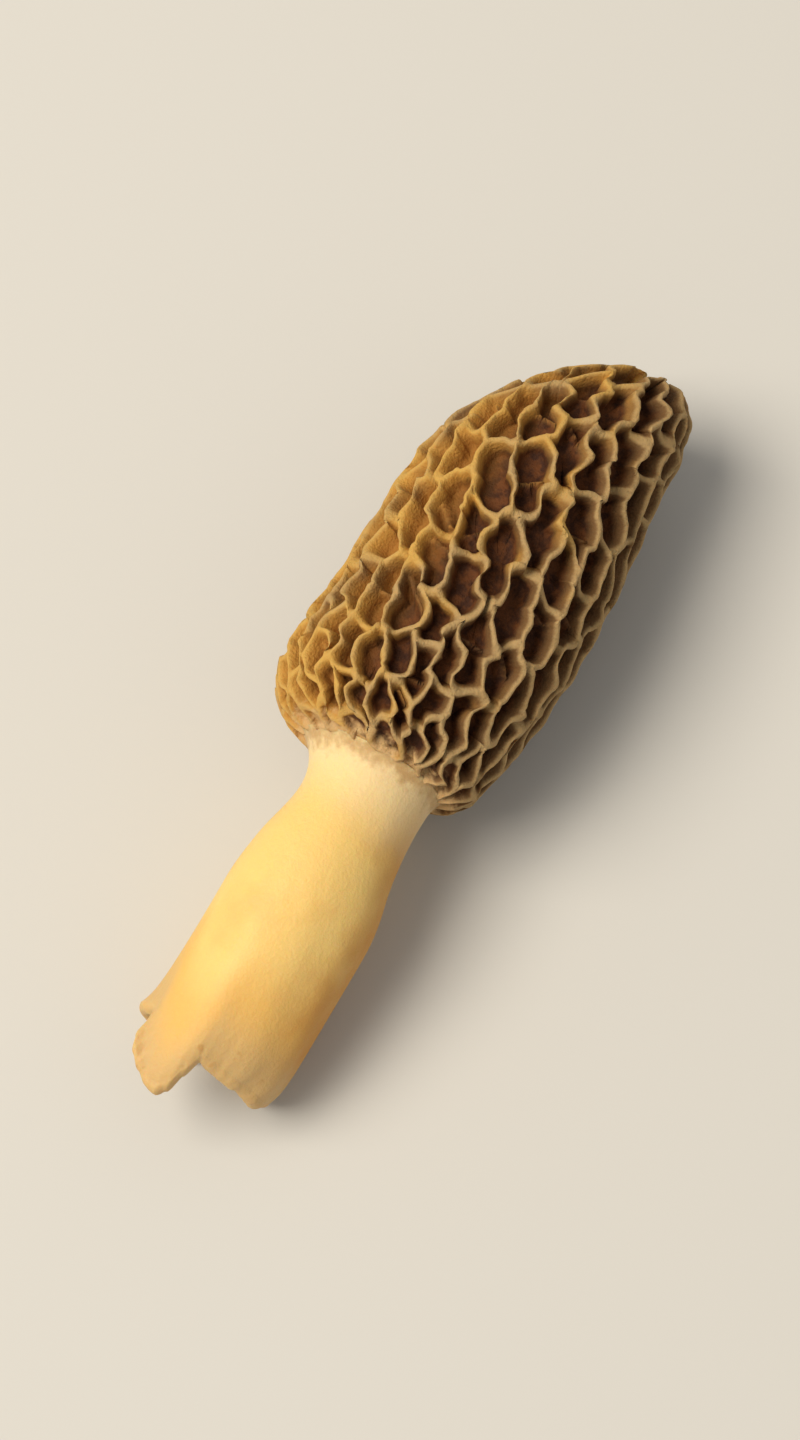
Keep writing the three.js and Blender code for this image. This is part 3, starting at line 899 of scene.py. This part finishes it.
class Nodes:
    """A short way to write a node tree down."""

    def __init__(self, tree: Tree) -> None:
        """Starts with an empty tree."""
        self.tree = tree
        tree.nodes.clear()

    def add(self, kind: str, given: dict[str, object] | None = None, **settings: object) -> Node:
        """Adds a node.

        Args:
            kind: The node's type.
            given: What feeds its sockets.
            **settings: Its properties.

        Returns:
            The node.
        """
        node = self.tree.nodes.new(kind)
        for name, value in settings.items():
            setattr(node, name, value)
        for name, value in (given or {}).items():
            self.feed(node.inputs[name], value)
        return node

    def feed(self, target: Socket, source: object) -> None:
        """Links a socket to its source, or sets it to a plain value.

        Args:
            target: The socket that is fed.
            source: Another socket, a number, or a colour of 0 to 255.
        """
        if isinstance(source, Socket):
            self.tree.links.new(source, target)
        else:
            target.default_value = linear(source) if target.type == "RGBA" else source

    def maths(self, operation: str, *values: object) -> Socket:
        """Works out a sum, a product or another operation on numbers.

        Args:
            operation: The operation's name.
            *values: Its numbers, plain or as sockets.

        Returns:
            The result.
        """
        node = self.add("ShaderNodeMath", operation=operation)
        for socket, value in zip(node.inputs, values):
            self.feed(socket, value)
        return node.outputs[0]

    def swayed(self, base: Socket, value: Socket, amount: float) -> Socket:
        """A base moved by an amount times how far a value lies above or below a half."""
        return self.maths("MULTIPLY_ADD", self.maths("SUBTRACT", value, 0.5), amount, base)

    def noise(self, where: Socket, scale: object, detail: float = 3.0, rough: float = 0.55) -> Socket:
        """A cloudy value round a half."""
        given = {"Vector": where, "Scale": scale, "Detail": detail, "Roughness": rough}
        return self.add("ShaderNodeTexNoise", given).outputs["Fac"]

    def mask(self, name: str) -> Socket:
        """One of the piece's own masks."""
        return self.add("ShaderNodeAttribute", attribute_name=name).outputs["Fac"]

    def spread(self, value: Socket, band: Band) -> Socket:
        """A smooth step of a value, from 0 at a band's low end to its most at the high end."""
        given = {"Value": value, "From Min": band.low, "From Max": band.high, "To Max": band.most}
        return self.add("ShaderNodeMapRange", given, interpolation_type="SMOOTHSTEP").outputs["Result"]

    def blend(self, share: Socket, first: object, second: object) -> Socket:
        """Blends two colours.

        Args:
            share: How much there is of the second.
            first: A colour of 0 to 255 or a socket.
            second: The other one.

        Returns:
            The colour a share of the way from the first to the second.
        """
        node = self.add("ShaderNodeMix", data_type="RGBA")
        self.feed(node.inputs["Factor"], share)
        colours = [socket for socket in node.inputs if socket.type == "RGBA"]
        self.feed(colours[0], first)
        self.feed(colours[1], second)
        return next(socket for socket in node.outputs if socket.type == "RGBA")


@dataclass(frozen=True)
class Mealy:
    """The mealy surface that cap and stem share: fine grains over soft, slow unevenness."""

    grain_share: float = 0.45
    soft_share: float = 0.55
    # cells of noise a metre
    soft_scale: float = 420.0
    patch_scale: float = 110.0

    def group(self) -> Tree:
        """Builds the node group.

        Its height is the sum of the grains and the soft unevenness, each times its share.

        Returns:
            The group, with the inputs Vector and Grain and the outputs Height and Patches.
        """
        group = bpy.data.node_groups.new("mealy_surface", "ShaderNodeTree")
        group.interface.new_socket("Vector", in_out="INPUT", socket_type="NodeSocketVector")
        for name, way in (("Grain", "INPUT"), ("Height", "OUTPUT"), ("Patches", "OUTPUT")):
            group.interface.new_socket(name, in_out=way, socket_type="NodeSocketFloat")
        nodes = Nodes(group)
        given, out = nodes.add("NodeGroupInput").outputs, nodes.add("NodeGroupOutput").inputs
        grain = nodes.noise(given["Vector"], given["Grain"], detail=2.0, rough=0.6)
        soft = nodes.maths("MULTIPLY", nodes.noise(given["Vector"], self.soft_scale), self.soft_share)
        nodes.feed(out["Height"], nodes.maths("MULTIPLY_ADD", grain, self.grain_share, soft))
        nodes.feed(out["Patches"], nodes.noise(given["Vector"], self.patch_scale, detail=2.0))
        return group


@dataclass(frozen=True)
class Flesh:
    """What the finishes of cap and stem have in common."""

    name: str
    roughness: float
    subsurface: float
    subsurface_radius: Rgb
    grain: float
    bump: float
    rim_fray: float
    mottle: float = 620.0
    specular: float = 0.3
    bump_depth: float = 1.2

    def start(self, mealy: Tree) -> tuple[bpy.types.Material, Nodes, Node, Socket, Node]:
        """Begins a material.

        Args:
            mealy: The shared group of the mealy surface.

        Returns:
            The material, its nodes, its shader, the object coordinates and the mealy surface's node.
        """
        material = bpy.data.materials.new(self.name)
        material.use_nodes = True
        nodes = Nodes(material.node_tree)
        where = nodes.add("ShaderNodeTexCoord").outputs["Object"]
        surface = nodes.add("ShaderNodeGroup", {"Vector": where, "Grain": self.grain}, node_tree=mealy)
        height = surface.outputs["Height"]
        bump = {"Strength": self.bump, "Distance": self.bump_depth * MM, "Height": height}
        given = {
            "Roughness": self.roughness,
            "Subsurface Weight": self.subsurface,
            "Subsurface Radius": self.subsurface_radius,
            "Subsurface Scale": MM,
            "Specular IOR Level": self.specular,
            "Normal": nodes.add("ShaderNodeBump", bump).outputs["Normal"],
        }
        shader = nodes.add("ShaderNodeBsdfPrincipled", given)
        nodes.add("ShaderNodeOutputMaterial", {"Surface": shader.outputs["BSDF"]})
        return material, nodes, shader, where, surface


@dataclass(frozen=True)
class CapFlesh(Flesh):
    """Tan ridges over brown pits, gold-tan and grey in patches and paler at the rim, with painted light on
    one side and painted shade, greyer and darker, on the other.
    """

    name: str = "cap_flesh"
    roughness: float = 0.78
    subsurface: float = 0.12
    subsurface_radius: Rgb = (1.2, 0.5, 0.2)
    grain: float = 2600.0
    bump: float = 0.5
    rim_fray: float = 0.7
    # crest and wall: the gold-tan ones go in random patches and are the painted light of the lit side; the
    # grey ones go in random patches and are the painted shade of the other side
    crest: Rgb = (198, 156, 78)
    crest_grey_and_shaded: Rgb = (174, 144, 96)
    wall: Rgb = (190, 140, 62)
    wall_grey_and_shaded: Rgb = (116, 84, 48)
    # pit floors: the first is painted light on the lit side; the grey and the dark one, mottled at random,
    # are painted shade on the other side
    floor: Rgb = (164, 112, 44)
    floor_shaded: Rgb = (102, 58, 24)
    floor_shaded_dark: Rgb = (62, 32, 14)
    rim: Rgb = (204, 168, 116)
    # how much the side's painted light and shade count beside the patches, and how far the grain moves the
    # edges of colours
    side_weight: float = 0.45
    grainy: float = 0.25
    gold_and_lit_band: Band = Band(0.46, 0.78)
    wall_band: Band = Band(0.0, 0.22)
    floor_band: Band = Band(0.22, 0.75)
    mottle_band: Band = Band(0.36, 0.64)
    # where the lit side's pit floor, painted light, takes over from the shaded one
    lit_floor_band: Band = Band(0.68, 1.0)
    rim_band: Band = Band(1.05, 1.35)

    def material(self, mealy: Tree) -> bpy.types.Material:
        """Builds the material.

        The masks "lit_side" and "fall" choose between crest, wall and floor, and "rim" fades all of them
        at the mouth. "lit_side" paints light on one side and shade on the other, beside the random patches.

        Args:
            mealy: The shared group of the mealy surface.

        Returns:
            The material.
        """
        material, nodes, shader, where, surface = self.start(mealy)
        fall, rim, lit_side = nodes.mask("fall"), nodes.mask("rim"), nodes.mask("lit_side")
        # painted light and shade: the lit side leans to the gold-tan colours and the other side to the grey
        # ones, beside the random patches
        turned = nodes.swayed(surface.outputs["Patches"], lit_side, self.side_weight)
        turned = nodes.spread(turned, self.gold_and_lit_band)
        crest = nodes.blend(turned, self.crest_grey_and_shaded, self.crest)
        side = nodes.blend(turned, self.wall_grey_and_shaded, self.wall)
        depth = nodes.swayed(fall, surface.outputs["Height"], self.grainy)
        wall = nodes.blend(nodes.spread(depth, self.wall_band), crest, side)
        mottled = nodes.noise(where, self.mottle)
        # pit floors: mottled grey and dark brown as painted shade, and the gold-tan floor as painted light
        # on the lit side
        brown = nodes.blend(nodes.spread(mottled, self.mottle_band), self.floor_shaded_dark, self.floor_shaded)
        floor = nodes.blend(nodes.spread(lit_side, self.lit_floor_band), brown, self.floor)
        pit = nodes.blend(nodes.spread(depth, self.floor_band), wall, floor)
        frayed = nodes.maths("MULTIPLY_ADD", mottled, self.rim_fray, rim)
        faded = nodes.blend(nodes.spread(frayed, self.rim_band), pit, self.rim)
        nodes.feed(shader.inputs["Base Color"], faded)
        return material


@dataclass(frozen=True)
class StemFlesh(Flesh):
    """Warm cream with a tan base, painted orange shade along the shaded side, mealy white above and a
    brownish edge at the cap.
    """

    name: str = "stem_flesh"
    roughness: float = 0.55
    subsurface: float = 0.35
    subsurface_radius: Rgb = (2.4, 1.1, 0.4)
    grain: float = 1900.0
    bump: float = 0.22
    rim_fray: float = 0.5
    cream: Rgb = (238, 202, 122)
    pale: Rgb = (206, 172, 116)
    stain: Rgb = (224, 174, 90)
    # the orange of the painted shade along the side turned from the lamp
    painted_shade_flank: Rgb = (196, 130, 42)
    mealy_white: Rgb = (232, 210, 164)
    speck: Rgb = (186, 134, 66)
    rim: Rgb = (196, 160, 108)
    hollow: Rgb = (206, 168, 104)
    speck_scale: float = 480.0
    # how far patches move the edges of the painted shade and of the white
    painted_shade_patchy: float = 0.6
    white_patchy: float = 0.8
    stain_band: Band = Band(0.45, 0.8, 0.5)
    painted_shade_band: Band = Band(0.34, 0.95, 0.8)
    warm_band: Band = Band(0.0, 0.6, 0.7)
    base_band: Band = Band(0.5, 0.95, 0.85)
    speck_band: Band = Band(0.66, 0.8)
    speckled_band: Band = Band(0.55, 0.85, 0.5)
    white_band: Band = Band(0.0, 0.95, 0.75)
    rim_band: Band = Band(1.05, 1.32)

    def material(self, mealy: Tree) -> bpy.types.Material:
        """Builds the material.

        One colour is laid over the other: stains on cream, tan where the mask "torn" rises, painted
        orange shade by "painted_shade_flank", the pale base with its specks, mealy white by "rim", the
        edge at the cap, and the hollow's own colour by "inside".

        Args:
            mealy: The shared group of the mealy surface.

        Returns:
            The material.
        """
        material, nodes, shader, where, surface = self.start(mealy)
        patches, torn, rim = surface.outputs["Patches"], nodes.mask("torn"), nodes.mask("rim")
        colour = nodes.blend(nodes.spread(patches, self.stain_band), self.cream, self.stain)
        colour = nodes.blend(nodes.spread(torn, self.warm_band), colour, self.stain)
        # painted shade: orange along the shaded side, its edge moved by the patches
        turned = nodes.swayed(nodes.mask("painted_shade_flank"), patches, self.painted_shade_patchy)
        colour = nodes.blend(nodes.spread(turned, self.painted_shade_band), colour, self.painted_shade_flank)
        colour = nodes.blend(nodes.spread(torn, self.base_band), colour, self.pale)
        specks = nodes.spread(nodes.noise(where, self.speck_scale, detail=1.0), self.speck_band)
        specks = nodes.maths("MULTIPLY", specks, nodes.spread(torn, self.speckled_band))
        colour = nodes.blend(specks, colour, self.speck)
        cloudy = nodes.swayed(rim, patches, self.white_patchy)
        colour = nodes.blend(nodes.spread(cloudy, self.white_band), colour, self.mealy_white)
        frayed = nodes.maths("MULTIPLY_ADD", nodes.noise(where, self.mottle), self.rim_fray, rim)
        colour = nodes.blend(nodes.spread(frayed, self.rim_band), colour, self.rim)
        nodes.feed(shader.inputs["Base Color"], nodes.blend(nodes.mask("inside"), colour, self.hollow))
        return material


# ---- the morel


@dataclass
class Morel:
    """The whole morel: its two pieces, laid on the surface where the frame has them."""

    line: Centreline = field(default_factory=Centreline)

    def settle(self, cap: Array, stem: Array, pressed: float) -> tuple[Array, Array]:
        """Presses the lowest flesh flat and brings the pieces to the frame's origin.

        Everything under the surface comes up to it. The origin is the middle of the common outline
        in X and Y, on the surface.

        Args:
            cap: The cap's points.
            stem: The stem's points.
            pressed: How much of the lowest ridges is flattened.

        Returns:
            The moved points of both.
        """
        surface = cap[:, 2].min() + pressed
        both = np.concatenate([cap, stem])
        middle = (both.min(axis=0) + both.max(axis=0)) / 2
        origin = np.array([middle[0], middle[1], surface])
        laid = [points - origin for points in (cap, stem)]
        for points in laid:
            points[:, 2] = np.maximum(points[:, 2], 0)
        return laid[0], laid[1]

    def build(self) -> None:
        """Builds, dresses and declares both pieces."""
        mealy = Mealy().group()
        cap_maker, stem_maker = Cap(self.line), Stem(self.line)
        cap_points, cap_quads, cap_masks = cap_maker.build()
        stem_points, stem_quads, stem_masks = stem_maker.build()
        cap_points, stem_points = self.settle(cap_points, stem_points, cap_maker.pressed_flat)
        cap = welded_object("cap_net", cap_points, cap_quads, cap_masks)
        stem = welded_object("stem_tube", stem_points, stem_quads, stem_masks)
        for piece, node, finish in ((cap, "cap", CapFlesh()), (stem, "stem", StemFlesh())):
            piece.data.materials.append(finish.material(mealy))
            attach(piece, "root")
            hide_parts(node)


# ---- the studio


@dataclass(frozen=True)
class Lamp:
    """A square soft lamp, with its place from the morel's middle in the picture's own directions."""

    name: str
    right: float
    up: float
    back: float
    size: float
    power: float
    colour: Rgb


@dataclass
class Studio:
    """A pale floor, soft light from the upper left and a camera that looks down on the morel."""

    azimuth: float = -62.0
    elevation: float = 72.0
    lens: float = 110.0
    sensor: float = 36.0
    view_height: float = 0.196
    floor_size: float = 6.0
    floor_colour: Rgb = (208, 206, 200)
    floor_roughness: float = 0.9
    sky_colour: Rgb = (1.0, 0.98, 0.95)
    sky_strength: float = 0.35
    lamps: tuple[Lamp, ...] = (
        Lamp("key", -0.88, 0.448, 1.36, size=1.0, power=31.0, colour=(255, 246, 232)),
        Lamp("fill", 1.35, -0.3, 1.2, size=1.2, power=1.0, colour=(255, 244, 230)),
    )

    def axes(self) -> tuple[Vector, Vector, Vector]:
        """Works out the picture's own directions from the camera's azimuth and elevation.

        Returns:
            The directions to the right and up in the picture, and back towards the camera.
        """
        a, e = math.radians(self.azimuth), math.radians(self.elevation)
        back = Vector((math.sin(a) * math.cos(e), -math.cos(a) * math.cos(e), math.sin(e)))
        right = Vector((math.cos(a), math.sin(a), 0))
        return right, back.cross(right), back

    def floor(self) -> None:
        """Lays the pale floor."""
        half = self.floor_size / 2
        mesh = bpy.data.meshes.new("floor")
        corners = [(-half, -half, 0), (half, -half, 0), (half, half, 0), (-half, half, 0)]
        mesh.from_pydata(corners, [], [(0, 1, 2, 3)])
        material = bpy.data.materials.new("floor")
        material.use_nodes = True
        shader = material.node_tree.nodes["Principled BSDF"]
        shader.inputs["Base Color"].default_value = linear(self.floor_colour)
        shader.inputs["Roughness"].default_value = self.floor_roughness
        mesh.materials.append(material)
        floor = bpy.data.objects.new("floor", mesh)
        bpy.context.scene.collection.objects.link(floor)
        floor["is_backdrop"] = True

    def stand(self, name: str, data: bpy.types.ID, place: Vector, back: Vector) -> bpy.types.Object:
        """Puts a lamp or the camera in the scene.

        Args:
            name: Its name.
            data: The light or the lens.
            place: Where it stands.
            back: The direction that it turns its back to.

        Returns:
            The object.
        """
        thing = bpy.data.objects.new(name, data)
        thing.location = place
        thing.rotation_mode = "QUATERNION"
        thing.rotation_quaternion = (-back).to_track_quat("-Z", "Y")
        bpy.context.scene.collection.objects.link(thing)
        return thing

    def build(self) -> None:
        """Builds the floor, the lights, the surroundings and the camera."""
        scene = bpy.context.scene
        right, up, back = self.axes()
        self.floor()
        for lamp in self.lamps:
            light = bpy.data.lights.new(lamp.name, "AREA")
            light.size, light.energy, light.color = lamp.size, lamp.power, linear(lamp.colour)[:3]
            place = lamp.right * right + lamp.up * up + lamp.back * back
            self.stand(lamp.name, light, place, place)
        world = bpy.data.worlds.new("studio")
        world.use_nodes = True
        sky = world.node_tree.nodes["Background"]
        sky.inputs["Color"].default_value = (*self.sky_colour, 1)
        sky.inputs["Strength"].default_value = self.sky_strength
        scene.world = world
        scene.view_settings.view_transform = "Standard"

        lens = bpy.data.cameras.new("camera")
        lens.lens, lens.sensor_width = self.lens, self.sensor
        low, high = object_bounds()
        distance = self.view_height * self.lens / self.sensor
        scene.camera = self.stand("camera", lens, (low + high) / 2 + back * distance, back)


def main() -> None:
    """Builds the morel and its studio."""
    logging.basicConfig(level=logging.INFO, format="%(name)s: %(message)s")
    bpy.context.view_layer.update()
    Morel().build()
    Studio().build()


if __name__ == "__main__":
    main()
